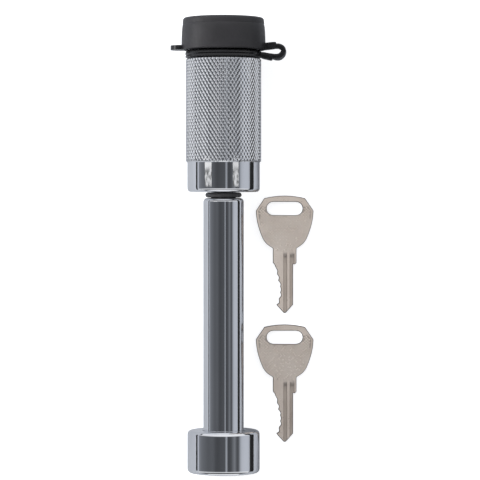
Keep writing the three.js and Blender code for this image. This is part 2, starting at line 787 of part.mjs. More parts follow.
// A flat key, tip at its origin and bow along +Y, with Z through its thickness.
function key() {
  const bowFoot = bladeLength + SHOULDER_LENGTH;
  const bowTop = bowFoot + BOW_LENGTH;
  const c = SHOULDER_CHAMFER;
  const side = bowSide(bowFoot);
  const crown = [0.66, 0.33, 0, -0.33, -0.66].map((share) => [
    share * BOW_TOP_HALF_WIDTH,
    bowTop - BOW_CROWN * share * share,
  ]);
  const outline = shapeOf([
    [TIP_HALF_WIDTH, 0],
    [BLADE_HALF_WIDTH, BLADE_TIP],
    [BLADE_HALF_WIDTH, bladeLength],
    [SHOULDER_HALF_WIDTH - c, bladeLength],
    [SHOULDER_HALF_WIDTH, bladeLength + c],
    ...side,
    ...crown,
    ...side.toReversed().map(([x, y]) => [-x, y]),
    [-SHOULDER_HALF_WIDTH, bladeLength + c],
    [-SHOULDER_HALF_WIDTH + c, bladeLength],
    ...keyCuts(),
    [-BLADE_HALF_WIDTH, BLADE_TIP],
    [-TIP_HALF_WIDTH, 0],
  ]);
  const holeRadius = KEY_HOLE_WIDTH / 2;
  const holeEnd = KEY_HOLE_LENGTH / 2 - holeRadius;
  const holeY = bowFoot + KEY_HOLE_HEIGHT;
  const hole = [
    ...arc(holeEnd, holeY, holeRadius, -halfTurn, halfTurn, 8),
    ...arc(-holeEnd, holeY, holeRadius, halfTurn, 3 * halfTurn, 8),
  ];
  outline.holes.push(shapeOf(hole.reverse()));
  const groove = ([x0, x1], z0, z1) =>
    box([x0, -PAST, z0], [x1, bladeLength + GROOVE_RUNOUT, z1]);
  const upper = KEY_THICKNESS - GROOVE_DEPTH;
  return solidOf(extruded(outline, KEY_THICKNESS))
    .subtract(groove(FACE_GROOVE, upper, KEY_THICKNESS + PAST))
    .subtract(groove(EDGE_GROOVE, upper, KEY_THICKNESS + PAST))
    .subtract(groove(BACK_GROOVE, -PAST, GROOVE_DEPTH));
}

// ------------------------------------------------------------------ assembly

function piece(name, solid, material, position = [0, 0, 0]) {
  const mesh = new THREE.Mesh(geometryOf(solid), material);
  mesh.name = name;
  mesh.position.set(...position);
  return mesh;
}

const lock = new THREE.Group();
lock.add(
  piece("shank", shank(), chrome),
  piece("stop_collar", stopCollar(), chrome),
  piece("seal_ring", sealRing(), rubber, [0, headFace - sealSpace / 2, 0]),
  piece("head_shell", headShell(), chrome),
  piece("latch_carrier", latchCarrier(), zinc),
  piece("latch_jaw_right", latchJaw(), steel),
  piece("cam_disc", camDisc(), steel),
  piece("cam_screw", camScrew(), steel),
  piece("cylinder_body", cylinderBody(), zinc),
  piece("plug_clip", plugClip(), springSteel),
  piece("keyway_cap", keywayCap(), rubber, [0, rimBottom, 0]),
  piece("strap_ring", strapRing(), rubber, [0, rimBottom, 0]),
  piece("cap_strap", capStrap(), rubber, [0, rimBottom, 0]),
);

const leftJaw = piece("latch_jaw_left", latchJaw(), steel);
leftJaw.rotation.y = Math.PI;
lock.add(leftJaw);

const retainer = piece("retaining_pin", retainingPin(), springSteel, [
  0,
  retainerHeight,
  0,
]);
retainer.rotation.x = halfTurn;
lock.add(retainer);

// The plug and its wafers, with the keyway lying across the pin. The wafers
// face alternate sides.
const core = new THREE.Group();
core.rotation.y = halfTurn;
core.add(piece("plug", plug(), brass));
for (let i = 0; i < WAFER_COUNT; i++) {
  const station = new THREE.Group();
  station.position.y = waferAt(i);
  station.rotation.y = Math.PI * (i % 2);
  const springX = waferHalfWidth + EAR_WIDTH / 2;
  station.add(
    piece(`wafer_${i + 1}`, wafer(), brass),
    piece(`wafer_spring_${i + 1}`, waferSpring(), springSteel, [springX, 0, SPRING_FOOT]),
  );
  core.add(station);
}
lock.add(core);

// The lock rests on the cap's lower edge and on the collar's outer edge.
const restLength = rimBottom + EDGE - COLLAR_FILLET;
const tilt = Math.atan((capRadius - COLLAR_RADIUS) / restLength);
lock.rotation.x = tilt;
lock.position.z = COLLAR_RADIUS * Math.cos(tilt) - COLLAR_FILLET * Math.sin(tilt);

const keys = new THREE.Group();
keys.position.x = KEY_OFFSET;
keys.add(
  piece("key_1", key(), nickelSilver, [0, FIRST_KEY_TIP, 0]),
  piece("key_2", key(), nickelSilver, [0, FIRST_KEY_TIP - KEY_SPACING, 0]),
);

const set = new THREE.Group();
set.add(lock, keys);

// The origin goes under the middle of the set, on the surface it lies on.
set.updateMatrixWorld(true);
const bounds = new THREE.Box3().setFromObject(set, true);
const middle = bounds.getCenter(new THREE.Vector3());
set.position.set(-middle.x, -middle.y, -bounds.min.z);

const hitchPinLock = new THREE.Group();
hitchPinLock.add(set);

export default hitchPinLock;
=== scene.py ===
import json
import math

import bmesh
import bpy
import numpy as np
from mathutils import Matrix, Vector
from mathutils.geometry import delaunay_2d_cdt


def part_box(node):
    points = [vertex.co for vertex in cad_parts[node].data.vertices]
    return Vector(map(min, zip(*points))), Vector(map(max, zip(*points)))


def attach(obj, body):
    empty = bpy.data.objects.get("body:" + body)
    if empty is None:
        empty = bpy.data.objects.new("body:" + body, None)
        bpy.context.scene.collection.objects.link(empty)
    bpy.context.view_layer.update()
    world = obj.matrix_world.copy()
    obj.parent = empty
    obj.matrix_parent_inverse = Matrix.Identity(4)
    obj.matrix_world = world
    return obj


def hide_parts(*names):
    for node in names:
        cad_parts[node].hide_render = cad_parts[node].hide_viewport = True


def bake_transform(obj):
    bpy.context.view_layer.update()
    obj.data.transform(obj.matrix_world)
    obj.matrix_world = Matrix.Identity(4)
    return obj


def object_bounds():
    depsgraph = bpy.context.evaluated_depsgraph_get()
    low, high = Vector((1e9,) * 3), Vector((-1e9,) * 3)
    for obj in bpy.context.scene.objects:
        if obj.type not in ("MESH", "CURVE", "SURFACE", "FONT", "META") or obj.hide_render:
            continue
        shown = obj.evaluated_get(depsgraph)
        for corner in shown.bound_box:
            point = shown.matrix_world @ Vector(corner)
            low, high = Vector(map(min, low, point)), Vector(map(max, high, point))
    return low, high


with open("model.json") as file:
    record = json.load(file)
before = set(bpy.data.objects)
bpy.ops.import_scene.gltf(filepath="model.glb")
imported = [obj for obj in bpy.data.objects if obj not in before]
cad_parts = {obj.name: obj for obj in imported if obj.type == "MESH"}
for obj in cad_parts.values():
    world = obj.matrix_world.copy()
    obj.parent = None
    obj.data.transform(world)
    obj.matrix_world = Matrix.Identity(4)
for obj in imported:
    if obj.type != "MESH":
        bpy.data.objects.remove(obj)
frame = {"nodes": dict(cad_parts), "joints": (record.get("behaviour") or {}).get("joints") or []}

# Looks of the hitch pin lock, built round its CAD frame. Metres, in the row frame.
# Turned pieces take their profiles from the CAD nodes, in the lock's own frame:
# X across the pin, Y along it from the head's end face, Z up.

cad_low, cad_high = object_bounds()
MM = 0.001

# ------------------------------------------------------------------- dimensions

# Diamond knurl of the head
KNURL_TEETH = 62  # round the head
KNURL_ROWS = 17  # along it
KNURL_STEPS = 8  # mesh steps in one tooth, each way
KNURL_DEPTH = 0.23 * MM
RISING_CROWN = ((0, 0.14, 0.27, 0.38, 1), (0, 0.5, 0.93, 1, 1))
FALLING_CROWN = ((0, 0.2, 0.39, 0.52, 1), (0, 0.5, 0.93, 1, 1))  # the wider grooves

# Roundings of corners, and how finely the pieces are turned
SHANK_ROUND = 0.35 * MM
SHOULDER_ROUND = 1.4 * MM
SHOULDER_FROM = (7 * MM, -4 * MM)  # its corners are wider, and nearer the head
COLLAR_ROUND = 0.3 * MM
SEAL_ROUND = 0.3 * MM
HEAD_ROUND = 0.25 * MM
CAP_ROUND = 0.3 * MM
RING_ROUND = 0.2 * MM
SHANK_COLUMNS = 160
COLLAR_COLUMNS = 192
SEAL_COLUMNS = 128
CAP_COLUMNS = 144
RING_COLUMNS = 160

# Tether, in mm beyond the cap's side and over the cap's lower edge
CAP_LUG = [
    (-1.35, 2.6), (-0.15, 2.7), (2.45, 3.0), (4.05, 3.05), (4.05, 0.65), (-0.15, 0.15),
    (-1.35, 0.15),
]
RING_LUG = [
    (-2.35, -0.8), (-0.55, -1.0), (2.75, -1.6), (2.75, -3.75), (2.15, -3.95), (-1.15, -3.2),
    (-1.45, -2.9), (-2.35, -2.9),
]
STRAP_ROUTE = [
    (3.2, 1.6), (4.35, 1.57), (5.35, 1.5), (6.45, 0.95), (6.95, -0.05), (6.55, -1.25),
    (5.45, -2.2), (4.25, -2.5), (3.05, -2.45), (1.9, -2.3),
]
STRAP_ENDS = (-2.4, 1.5)  # heights where it joins the ring and the cap
LUG_HALF_WIDTH = 3.6 * MM
LUG_CORNER = 0.35 * MM
LUG_BEVEL = 0.5 * MM
STRAP_HALF_WIDTH = 2.8 * MM
STRAP_THICKNESS = 1.9 * MM
STRAP_CORNER = 0.55 * MM
STRAP_CORNER_STEPS = 4
STRAP_LEAN = 0.8 * MM  # how far the strap's lower edge bows out past its upper one
STRAP_BEND = 0.3  # share of the route where that starts

# The cap's side, by share of its height from the foot
CAP_SWELL = 0.12 * MM
SWELL_SHARES = ((0.2, 0.5), (0.42, 1.0), (0.62, 1.1), (0.76, 0.85))
CAP_LINE_AT = 0.86
CAP_LINE_SHAPE = ((0.03, -0.2), (-0.06, 0), (0, 0.2))  # the moulding line, in mm

# Pull tab of the cap
TAB_LENGTH = 4.25 * MM
TAB_THICKNESS = 1.8 * MM
TAB_HALF_WIDTH = 4.5 * MM
TAB_ROOT = 14.75 * MM  # from the axis, inside the cap's side
TAB_BEVEL = 0.55 * MM
TAB_STEPS = 24  # in the round end

# Keys, from the tip and the centreline, seen from above
KEY_CORNER = 0.28 * MM
KEY_EDGE = 0.24 * MM
KEY_SHARP = 14  # degrees, the gentlest fold that stays a hard edge
BOW_FOOT = 25.8 * MM

# Milled grooves, as their left and right sides
UPPER_GROOVES = ((-0.5 * MM, 0.95 * MM), (2.0 * MM, 3.9 * MM))
LOWER_GROOVES = ((-1.9 * MM, -0.8 * MM),)
GROOVE_DEPTH = 0.5 * MM
GROOVE_WALL = 0.14 * MM
GROOVE_END = 24.4 * MM
GROOVE_RAMP = 2.8 * MM
GROOVE_STATIONS = (0.1, 3.3, 8, 14, 19.4, 21.6, 22.2, 22.8, 23.4, 23.9, 24.4)  # in mm

# Cuts for the wafers
CUTS = (3.4 * MM, 17.8 * MM)  # the cut part of the blade
CUT_SIDE = -1.2 * MM  # the cut edge is left of this
CUT_COUNT = 6
CUT_DEPTH = 0.34 * MM
CUT_STEP = 0.2 * MM

# Hatching of the bow
HATCH_PITCH = 1.15 * MM
HATCH_DEPTH = 0.06 * MM
HATCH_TOP = 0.74  # the flat tops' share of the pitch
HATCH_RIM = 1.1 * MM
HATCH_HOLE_RIM = 0.6 * MM
HATCH_GAP = 0.2 * MM  # from the plain rim to the first diamonds
HATCH_END = 42.5 * MM  # none on the bridge over the hole

# Camera
VIEW_CENTRE = Vector((-1.02 * MM, 2.1 * MM, 15.5 * MM))
VIEW_DISTANCE = 0.908
VIEW_WIDTH = 188.6 * MM  # what the frame spans at the view's centre
SENSOR = 36

# ------------------------------------------------------------------- lock frame

joints = {joint["name"]: joint for joint in frame["joints"]}
AXIS = Vector(joints["head_spin"]["axis"]).normalized()
ACROSS = Vector((1, 0, 0))
TO_ROW = Matrix((ACROSS, AXIS, ACROSS.cross(AXIS))).transposed().to_4x4()
TO_ROW.translation = Vector(joints["head_spin"]["pos_m"])
TO_LOCK = TO_ROW.inverted()
TINY = 2e-6


def chained(links, start):
    """The vertices of a path through links, from start."""
    path = [start]
    seen = {start}
    while True:
        following = [v for v in links[path[-1]] if v not in seen]
        if not following:
            return path
        path.append(following[0])
        seen.add(following[0])


def section(node, to_local, normal, offset=0.0):
    """A CAD node cut by a plane, as the mesh and the links between its cut vertices."""
    mesh = bmesh.new()
    mesh.from_mesh(frame["nodes"][node].data)
    bmesh.ops.transform(mesh, matrix=to_local, verts=mesh.verts)
    bmesh.ops.remove_doubles(mesh, verts=mesh.verts, dist=TINY)
    made = bmesh.ops.bisect_plane(
        mesh,
        geom=mesh.verts[:] + mesh.edges[:] + mesh.faces[:],
        dist=TINY,
        plane_co=Vector(normal) * offset,
        plane_no=normal,
    )
    links = {}
    for edge in (e for e in made["geom_cut"] if isinstance(e, bmesh.types.BMEdge)):
        a, b = edge.verts
        links.setdefault(a, []).append(b)
        links.setdefault(b, []).append(a)
    return mesh, links


def meridian(node):
    """A turned node's profile as [radius, height], outer side first if it closes."""
    mesh, links = section(node, TO_LOCK, (1, 0, 0))
    half = {}
    for a, others in links.items():
        for b in others:
            on_axis = abs(a.co.z) < TINY and abs(b.co.z) < TINY
            if a.co.z < TINY and b.co.z < TINY and not on_axis:
                half.setdefault(a, []).append(b)
    ends = [v for v in half if len(half[v]) == 1]
    start = min(ends or half, key=lambda v: (round(v.co.y, 6), v.co.z))
    path = [Vector((max(-v.co.z, 0.0), v.co.y)) for v in chained(half, start)]
    mesh.free()
    if not ends and path[1].x < path[-1].x:
        path = [path[0]] + path[:0:-1]
    return path


# ------------------------------------------------------------------ profile work

SUPPORT = 0.12 * MM  # from a long stretch's end to the point that holds its shading
GENTLE = math.radians(158)  # wider bends are turned into curves
STRAIGHT = math.radians(176)  # still wider ones are left alone
SHARP = 32  # degrees, the gentlest fold that stays a hard edge


def soften(points, radius, closed=False, keep=None, steps=4):
    """A line with its corners rounded and its gentle bends turned into curves."""
    count = len(points)
    soft = []
    for i, point in enumerate(points):
        before = points[i - 1] - point
        after = points[(i + 1) % count] - point
        end = not closed and i in (0, count - 1)
        angle = math.pi if end else before.angle(after)
        if angle > STRAIGHT or (keep and keep(point)):
            soft.append(point)
            continue
        cut = (radius(point) if callable(radius) else radius) / math.tan(angle / 2)
        share = 0.45
        if angle > GENTLE:
            cut, share = 1.0, 0.5
        cut = min(cut, share * before.length, share * after.length)
        a = point + before.normalized() * cut
        b = point + after.normalized() * cut
        for step in range(steps + 1):
            t = step / steps
            soft.append(a * (1 - t) ** 2 + point * 2 * t * (1 - t) + b * t * t)
    return [p for i, p in enumerate(soft) if (p - soft[i - 1]).length > TINY]


def supported(points, closed=False):
    """The line with a point close to each end of its long straight stretches."""
    result = []
    count = len(points)
    for i, a in enumerate(points):
        result.append(a)
        if i == count - 1 and not closed:
            break
        b = points[(i + 1) % count]
        length = (b - a).length
        if length > 6 * SUPPORT:
            along = (b - a) / length * SUPPORT
            result += [a + along, b - along]
    return result


def turned(rows, columns, closed):
    """Vertices and faces of rows of [radius, height] turned about the Y axis."""
    turn = np.arange(columns) * 2 * math.pi / columns
    vertices, rings = [], []
    for radius, height in rows:
        radii = np.broadcast_to(np.asarray(radius, float), columns)
        if radii.max() < TINY:
            rings.append([len(vertices)] * columns)
            vertices.append((0.0, height, 0.0))
            continue
        rings.append(list(range(len(vertices), len(vertices) + columns)))
        x, z = radii * np.sin(turn), radii * np.cos(turn)
        vertices += list(zip(x.tolist(), [height] * columns, z.tolist()))
    pairs = list(zip(rings, rings[1:] + ([rings[0]] if closed else [])))
    faces = []
    for lower, upper in pairs:
        for k in range(columns):
            n = (k + 1) % columns
            corners = [lower[k], lower[n], upper[n], upper[k]]
            faces.append(list(dict.fromkeys(corners)))
    return vertices, faces, pairs


# --------------------------------------------------------------------- materials


class Nodes:
    """A material's node tree, with short ways to add to it."""

    def __init__(self, name):
        self.material = bpy.data.materials.new(name)
        self.material.use_nodes = True
        self.tree = self.material.node_tree
        self.shader = self.tree.nodes["Principled BSDF"]
        self.place = self.add("ShaderNodeTexCoord").outputs["Object"]

    def add(self, kind, inputs=(), **settings):
        node = self.tree.nodes.new(kind)
        for key, value in settings.items():
            setattr(node, key, value)
        for key, value in dict(inputs).items():
            if isinstance(value, bpy.types.NodeSocket):
                self.tree.links.new(value, node.inputs[key])
            else:
                node.inputs[key].default_value = value
        return node

    def noise(self, scale, detail=3.0, stretch=(1, 1, 1), rough=0.5):
        mapped = self.add("ShaderNodeMapping", {"Vector": self.place, "Scale": stretch})
        values = {"Vector": mapped.outputs[0], "Scale": scale, "Detail": detail, "Roughness": rough}
        return self.add("ShaderNodeTexNoise", values).outputs["Fac"]

    def span(self, value, low, high, start=0.3, stop=0.7):
        values = {"Value": value, "From Min": start, "From Max": stop, "To Min": low, "To Max": high}
        return self.add("ShaderNodeMapRange", values).outputs["Result"]

    def mix(self, factor, a, b):
        node = self.add("ShaderNodeMix", data_type="RGBA")
        self.tree.links.new(factor, node.inputs["Factor"])
        for key, value in ((6, a), (7, b)):
            if isinstance(value, bpy.types.NodeSocket):
                self.tree.links.new(value, node.inputs[key])
            else:
                node.inputs[key].default_value = (*value, 1)
        return node.outputs[2]

    def bump(self, height, distance):
        values = {"Height": height, "Distance": distance, "Strength": 1.0}
        return self.add("ShaderNodeBump", values).outputs["Normal"]

    def set(self, **values):
        for key, value in values.items():
            socket = self.shader.inputs[key.replace("_", " ")]
            if isinstance(value, bpy.types.NodeSocket):
                self.tree.links.new(value, socket)
            else:
                socket.default_value = value
        return self.material


def chrome(name, waviness):
    """Polished chrome plate: faint smears, and a ripple left by the polishing."""
    n = Nodes(name)
    n.material.diffuse_color = (0.8, 0.8, 0.82, 1)
    smear = n.noise(90, 4, (1, 0.25, 1))
    ripple = n.noise(140, 2, (1, 0.08, 1))
    return n.set(
        Base_Color=n.mix(n.span(smear, 0, 1), (0.83, 0.84, 0.86), (0.74, 0.755, 0.78)),
        Roughness=n.span(smear, 0.035, 0.085),
        Metallic=1.0,
        Normal=n.bump(ripple, waviness),
    )


def rubber(name, dark, light, low_rough, high_rough, grain):
    """Moulded rubber: a fine matt grain, slight clouding, and worn-in sheen."""
    n = Nodes(name)
    clouds = n.noise(160, 4)
    fine = n.noise(4200, 2)
    pits = n.noise(900, 3)
    height = n.add("ShaderNodeMath", {0: fine, 1: pits}, operation="ADD").outputs[0]
    return n.set(
        Base_Color=n.mix(n.span(clouds, 0, 1), dark, light),
        Roughness=n.span(pits, low_rough, high_rough),
        Specular_IOR_Level=0.5,
        Normal=n.bump(height, grain),
    )


def worked_metal(
    name, dark, light, rough, scratch, stretch=(1, 1, 1), corner_shade=None, bump=4e-6, reach=0.9
):
    """Bare or plated metal: stained patches, drawn scratches and painted shade in corners, as
    far out as the reach in mm."""
    n = Nodes(name)
    stain = n.noise(110, 5)
    lines = n.noise(scratch, 3, stretch, 0.6)
    colour = n.mix(n.span(stain, 0, 1), dark, light)
    if corner_shade:
        # Ambient occlusion darkens the colour in corners and hollows: painted shade.
        shade = n.add("ShaderNodeAmbientOcclusion", {"Distance": reach * MM}, samples=6)
        colour = n.mix(n.span(shade.outputs["AO"], 0, 1, 0.4, 0.95), corner_shade, colour)
    return n.set(
        Base_Color=colour,
        Roughness=n.span(lines, rough - 0.07, rough + 0.08),
        Metallic=1.0,
        Normal=n.bump(lines, bump),
    )


CHROME = chrome("chrome_plate", 1.2e-6)
KNURL_CHROME = chrome("chrome_knurl", 2.5e-6)
SEAL_RUBBER = rubber(
    "seal_rubber", (0.07, 0.07, 0.073), (0.09, 0.09, 0.094), 0.4, 0.55, 3e-6
)
CAP_RUBBER = rubber(
    "cap_rubber", (0.0155, 0.015, 0.0165), (0.021, 0.02, 0.0225), 0.4, 0.52, 7e-6
)
STRAP_RUBBER = rubber(
    "strap_rubber", (0.003, 0.003, 0.0035), (0.006, 0.006, 0.007), 0.2, 0.32, 4e-6
)
KEY_METAL = worked_metal(
    "key_nickel", (0.64, 0.565, 0.505), (0.74, 0.67, 0.61), 0.33, 900,
    corner_shade=(0.17, 0.14, 0.12), bump=1.5e-6, reach=0.3,
)
# A dark copy of the key metal for its edges and side walls: painted shade.
KEY_SHADED_EDGE_METAL = worked_metal(
    "key_nickel_shaded_edge", (0.1, 0.088, 0.078), (0.2, 0.178, 0.16), 0.4, 500, (1, 0.12, 1),
    corner_shade=(0.05, 0.045, 0.04),
)
# A darker copy of the key metal for the sunk hatching: painted shade in the recesses.
KEY_SHADED_HATCH_METAL = worked_metal(
    "key_nickel_shaded_hatch", (0.38, 0.335, 0.295), (0.5, 0.445, 0.4), 0.42, 900,
    corner_shade=(0.14, 0.12, 0.1), bump=2e-6, reach=0.25,
)
# A lighter copy of the key metal for the diamonds' tops: wear, and a painted highlight.
KEY_WORN_HIGHLIT_METAL = worked_metal(
    "key_nickel_worn_highlit", (0.89, 0.79, 0.71), (0.97, 0.89, 0.81), 0.3, 900, bump=1.5e-6
)
# A darker copy of the key metal for the milled grooves: their drawn marks, and painted shade.
KEY_MILLED_SHADED_METAL = worked_metal(
    "key_nickel_milled_shaded", (0.43, 0.375, 0.33), (0.54, 0.48, 0.43), 0.36, 900, (1, 0.1, 1),
    bump=2e-6,
)
ZINC = worked_metal(
    "cast_zinc", (0.5, 0.5, 0.51), (0.66, 0.66, 0.67), 0.48, 1500,
    corner_shade=(0.2, 0.2, 0.2), bump=1e-5,
)
STEEL = worked_metal(
    "machined_steel", (0.42, 0.43, 0.44), (0.57, 0.58, 0.59), 0.33, 700, (1, 6, 1),
    corner_shade=(0.15, 0.15, 0.15),
)
SPRING_STEEL = worked_metal(
    "spring_steel", (0.45, 0.45, 0.46), (0.62, 0.62, 0.63), 0.28, 1200, (1, 1, 0.2)
)
BRASS = worked_metal(
    "machined_brass", (0.66, 0.46, 0.2), (0.83, 0.64, 0.34), 0.3, 800, (1, 6, 1),
    corner_shade=(0.2, 0.12, 0.04),
)

# ------------------------------------------------------------------------ pieces


def mesh_object(name, vertices, faces, materials, matrix=TO_ROW, sharp=SHARP):
    """A mesh object with its faces turned outwards and its hard edges marked."""
    mesh = bpy.data.meshes.new(name)
    mesh.from_pydata([tuple(v) for v in vertices], [], faces)
    mesh.transform(matrix)
    work = bmesh.new()
    work.from_mesh(mesh)
    bmesh.ops.recalc_face_normals(work, faces=work.faces)
    work.to_mesh(mesh)
    work.free()
    for material in materials:
        mesh.materials.append(material)
    mesh.shade_smooth()
    mesh.set_sharp_from_angle(angle=math.radians(sharp))
    piece = bpy.data.objects.new(name, mesh)
    bpy.context.scene.collection.objects.link(piece)
    return piece


def stand_for(piece, node, body):
    """The piece rides on a body in place of a CAD node."""
    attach(piece, body)
    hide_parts(node)
    return piece


def turned_piece(name, profile, columns, closed, material):
    """A profile turned about the lock's axis."""
    vertices, faces, _ = turned(supported(profile, closed), columns, closed)
    return mesh_object(name, vertices, faces, [material])


def union(piece, others):
    """Joins solids to the piece, as one skin."""
    for other in others:
        cut = piece.modifiers.new("union", "BOOLEAN")
        cut.operation = "UNION"
        cut.solver = "EXACT"
        cut.material_mode = "TRANSFER"
        cut.object = other
    evaluated = piece.evaluated_get(bpy.context.evaluated_depsgraph_get())
    mesh = bpy.data.meshes.new_from_object(evaluated)
    piece.modifiers.clear()
    piece.data = mesh
    mesh.name = piece.name
    mesh.shade_smooth()
    mesh.set_sharp_from_angle(angle=math.radians(SHARP))
    for other in others:
        bpy.data.objects.remove(other)
    return piece


def moulding(name, outline, low, high, bevel, material, axes):
    """An outline given a thickness along a third axis, with its edges rounded."""
    first, second, third = axes

    def placed(point, level):
        corner = [0.0, 0.0, 0.0]
        corner[first], corner[second], corner[third] = point[0], point[1], level
        return tuple(corner)

    mesh = bmesh.new()
    rings = [[mesh.verts.new(placed(p, level)) for p in outline] for level in (low, high)]
    count = len(outline)
    for ring in rings:
        mesh.faces.new(ring)
    for i in range(count):
        n = (i + 1) % count
        mesh.faces.new([rings[0][i], rings[0][n], rings[1][n], rings[1][i]])
    rims = [e for e in mesh.edges if any(all(v in ring for v in e.verts) for ring in rings)]
    bmesh.ops.bevel(
        mesh, geom=rims, offset=bevel, segments=4, profile=0.5, affect="EDGES", clamp_overlap=True
    )
    mesh.verts.index_update()
    vertices = [v.co.copy() for v in mesh.verts]
    faces = [[v.index for v in f.verts] for f in mesh.faces]
    mesh.free()
    return mesh_object(name, vertices, faces, [material])


# Pin and collar


def shank():
    outline = meridian("shank")
    shoulder = [p for p in outline if p.x > SHOULDER_FROM[0] and p.y > SHOULDER_FROM[1]]
    profile = soften(outline, lambda p: SHOULDER_ROUND if p in shoulder else SHANK_ROUND)
    piece = turned_piece("chrome_shank", profile, SHANK_COLUMNS, False, CHROME)
    return stand_for(piece, "shank", "pin")


def stop_collar():
    profile = soften(meridian("stop_collar"), COLLAR_ROUND, closed=True)
    piece = turned_piece("chrome_stop_collar", profile, COLLAR_COLUMNS, True, CHROME)
    return stand_for(piece, "stop_collar", "pin")


def seal_ring():
    profile = soften(meridian("seal_ring"), SEAL_ROUND, closed=True)
    piece = turned_piece("rubber_seal_ring", profile, SEAL_COLUMNS, True, SEAL_RUBBER)
    return stand_for(piece, "seal_ring", "seal")


# Head casing: one skin, with the diamond knurl cut in it


def wave(t):
    """A triangle wave, from 0 at whole numbers to 1 halfway between them."""
    return 1 - np.abs(2 * np.mod(t, 1) - 1)


def head_casing():
    """The turned casing, its knurl between the two chamfers next to the widest part."""
    outline = meridian("head_shell")
    widest = max(p.x for p in outline)
    crest = [p for p in outline if p.x > widest - TINY]
    beside = [p for p in outline if p.x < widest - TINY]
    low, high = (
        min(beside, key=lambda p: (p - end).length)
        for end in (min(crest, key=lambda p: p.y), max(crest, key=lambda p: p.y))
    )
    profile = soften(outline, HEAD_ROUND, closed=True, keep=lambda p: p.x > low.x - TINY, steps=2)
    low_at = min(range(len(profile)), key=lambda i: (profile[i] - low).length)
    high_at = min(range(len(profile)), key=lambda i: (profile[i] - high).length)
    plain = supported(profile[high_at:] + profile[: low_at + 1])

    columns = KNURL_TEETH * KNURL_STEPS
    count = KNURL_ROWS * KNURL_STEPS
    across = np.arange(columns) / KNURL_STEPS
    floor = widest - KNURL_DEPTH
    rows = []
    for j in range(1, count):
        along = j / KNURL_STEPS
        height = low.y + (high.y - low.y) * j / count
        rising = np.interp(wave(across - along), *RISING_CROWN)
        falling = np.interp(wave(across + along), *FALLING_CROWN)
        radii = floor + KNURL_DEPTH * np.minimum(rising, falling)
        chamfered = low.x + min(height - low.y, high.y - height)
        rows.append((np.minimum(radii, chamfered), height))

    every = [(p.x, p.y) for p in plain] + rows
    vertices, faces, pairs = turned(every, columns, True)
    first = (len(plain) - 1) * columns
    split = faces[:first]
    for j, (lower, upper) in enumerate(pairs[len(plain) - 1 :]):
        for k in range(columns):
            n = (k + 1) % columns
            rising = wave((k - j) / KNURL_STEPS) < wave((k + j + 1) / KNURL_STEPS)
            a, b, c, d = lower[k], lower[n], upper[n], upper[k]
            split += [[a, b, c], [a, c, d]] if rising else [[a, b, d], [b, c, d]]
    piece = mesh_object("chrome_head_casing", vertices, split, [CHROME, KNURL_CHROME])
    total = len(piece.data.polygons)
    index = np.zeros(total, np.int32)
    index[first:] = 1
    piece.data.polygons.foreach_set("material_index", index)
    smooth = np.ones(total, bool)
    smooth[first:] = False
    piece.data.polygons.foreach_set("use_smooth", smooth)
    return stand_for(piece, "head_shell", "head")


# Rubber cap, its tether and the ring

cap_line = meridian("keyway_cap")
CAP_RADIUS = max(p.x for p in cap_line)
CAP_FOOT = min(p.y for p in cap_line)


def beyond_cap(points):
    """Points from the tether's measures to the lock frame."""
    return [Vector((CAP_RADIUS + x * MM, CAP_FOOT + y * MM)) for x, y in points]


def lug(name, points):
    """A side lug that the strap grows out of."""
    outline = soften(beyond_cap(points), LUG_CORNER, closed=True, steps=3)
    return moulding(
        name, outline, -LUG_HALF_WIDTH, LUG_HALF_WIDTH, LUG_BEVEL, STRAP_RUBBER, (0, 1, 2)
    )


def keyway_cap():
    """Cup with a swelling side and a faint moulding line, its tab and its lug."""
    side_foot = max((p for p in cap_line if p.y < CAP_FOOT + 2 * MM), key=lambda p: p.x)
    at = cap_line.index(side_foot)
    step = 1 if cap_line[(at + 1) % len(cap_line)].y > side_foot.y else -1
    side_top = cap_line[at + step]
    swell = [
        side_foot.lerp(side_top, share) + Vector((out * CAP_SWELL, 0)) for share, out in SWELL_SHARES
    ]
    line_at = side_foot.lerp(side_top, CAP_LINE_AT)
    extra = swell + [line_at + Vector(offset) * MM for offset in CAP_LINE_SHAPE]
    if step < 0:
        points = cap_line[:at] + extra[::-1] + cap_line[at:]
    else:
        points = cap_line[: at + 1] + extra + cap_line[at + 1 :]
    profile = soften(points, CAP_ROUND)
    piece = turned_piece("rubber_keyway_cap", profile, CAP_COLUMNS, False, CAP_RUBBER)

    centre = CAP_RADIUS + TAB_LENGTH - TAB_HALF_WIDTH
    turn = [math.pi * (0.5 + i / TAB_STEPS) for i in range(TAB_STEPS + 1)]
    tip = [(-centre + TAB_HALF_WIDTH * math.cos(t), TAB_HALF_WIDTH * math.sin(t)) for t in turn]
    outline = tip + [(-TAB_ROOT, -TAB_HALF_WIDTH), (-TAB_ROOT, TAB_HALF_WIDTH)]
    tab = moulding(
        "tab", outline, CAP_FOOT, CAP_FOOT + TAB_THICKNESS, TAB_BEVEL, STRAP_RUBBER, (0, 2, 1)
    )
    return stand_for(union(piece, [tab, lug("lug", CAP_LUG)]), "keyway_cap", "cap")


def strap_ring():
    profile = soften(meridian("strap_ring"), RING_ROUND, closed=True)
    piece = turned_piece("rubber_strap_ring", profile, RING_COLUMNS, True, STRAP_RUBBER)
    whole = union(piece, [lug("ring_lug", RING_LUG)])
    return stand_for(whole, "strap_ring", "tether")


def smooth_route(points, steps):
    """Points along a Catmull-Rom curve through the given ones."""
    padded = [points[0] * 2 - points[1]] + points + [points[-1] * 2 - points[-2]]
    route = []
    for p0, p1, p2, p3 in zip(padded, padded[1:], padded[2:], padded[3:]):
        for step in range(steps):
            t = step / steps
            route.append(
                0.5
                * (
                    p1 * 2
                    + (p2 - p0) * t
                    + (p0 * 2 - p1 * 5 + p2 * 4 - p3) * t**2
                    + (p1 * 3 - p0 - p2 * 3 + p3) * t**3
                )
            )
    return route + [points[-1]]


